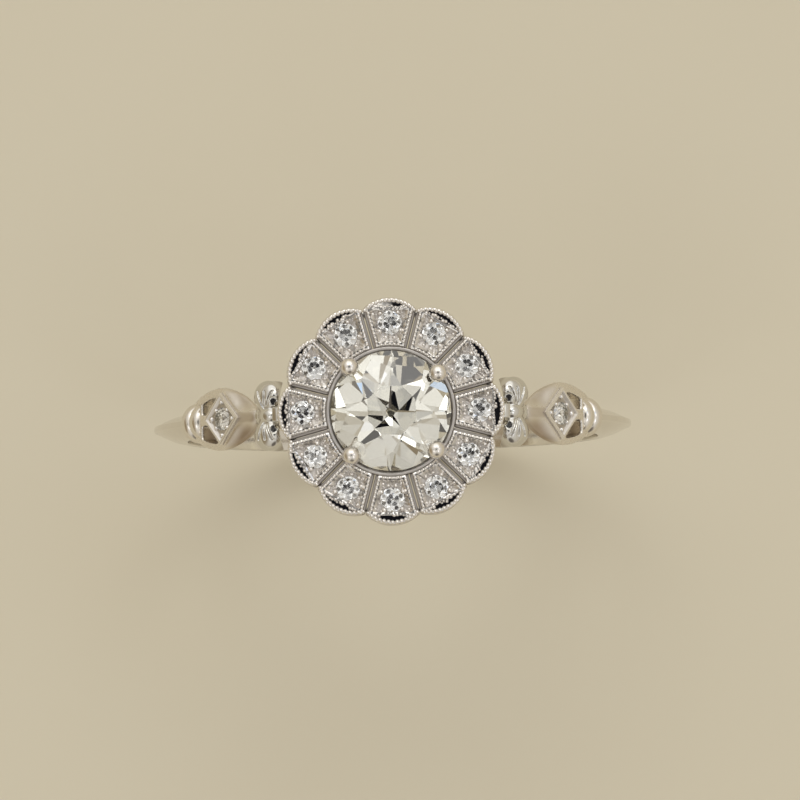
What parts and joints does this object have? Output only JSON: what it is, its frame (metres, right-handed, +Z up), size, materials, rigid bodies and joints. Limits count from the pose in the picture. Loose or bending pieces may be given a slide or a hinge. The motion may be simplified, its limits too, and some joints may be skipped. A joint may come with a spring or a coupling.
{
  "type": "engagement ring",
  "caption": "White-metal flower-cluster ring: an old-cut centre diamond in a scalloped petal halo, with bow and openwork leaf shoulders on a narrow high-domed shank.",
  "frame": {"origin": "centre of the finger hole, halfway across the shank's width", "axes": "+Y along the finger hole, +Z up through the centre diamond, +X along the ring to the right-hand shoulder"},
  "size_m": [0.0198, 0.009, 0.0223],
  "materials": {
    "white_metal": "polished platinum or white gold",
    "diamond": "faceted, faintly warm"
  },
  "bodies": {
    "root": {"shank": "white_metal", "left_collar": "white_metal", "right_collar": "white_metal", "left_shoulder": "white_metal", "right_shoulder": "white_metal", "left_lozenge_collet": "white_metal", "right_lozenge_collet": "white_metal", "left_lozenge_diamond": "diamond", "right_lozenge_diamond": "diamond", "left_bow": "white_metal", "right_bow": "white_metal", "halo_petal_01": "white_metal", "halo_petal_02": "white_metal", "halo_petal_03": "white_metal", "halo_petal_04": "white_metal", "halo_petal_05": "white_metal", "halo_petal_06": "white_metal", "halo_petal_07": "white_metal", "halo_petal_08": "white_metal", "halo_petal_09": "white_metal", "halo_petal_10": "white_metal", "halo_petal_11": "white_metal", "halo_petal_12": "white_metal", "halo_diamond_01": "diamond", "halo_diamond_02": "diamond", "halo_diamond_03": "diamond", "halo_diamond_04": "diamond", "halo_diamond_05": "diamond", "halo_diamond_06": "diamond", "halo_diamond_07": "diamond", "halo_diamond_08": "diamond", "halo_diamond_09": "diamond", "halo_diamond_10": "diamond", "halo_diamond_11": "diamond", "halo_diamond_12": "diamond", "gallery_rail": "white_metal", "base_rail": "white_metal", "centre_collet": "white_metal", "centre_diamond": "diamond", "gallery_strut_1": "white_metal", "gallery_strut_2": "white_metal", "gallery_strut_3": "white_metal", "gallery_strut_4": "white_metal", "gallery_strut_5": "white_metal", "gallery_strut_6": "white_metal", "prong_1": "white_metal", "prong_2": "white_metal", "prong_3": "white_metal", "prong_4": "white_metal"}
  },
  "joints": []
}
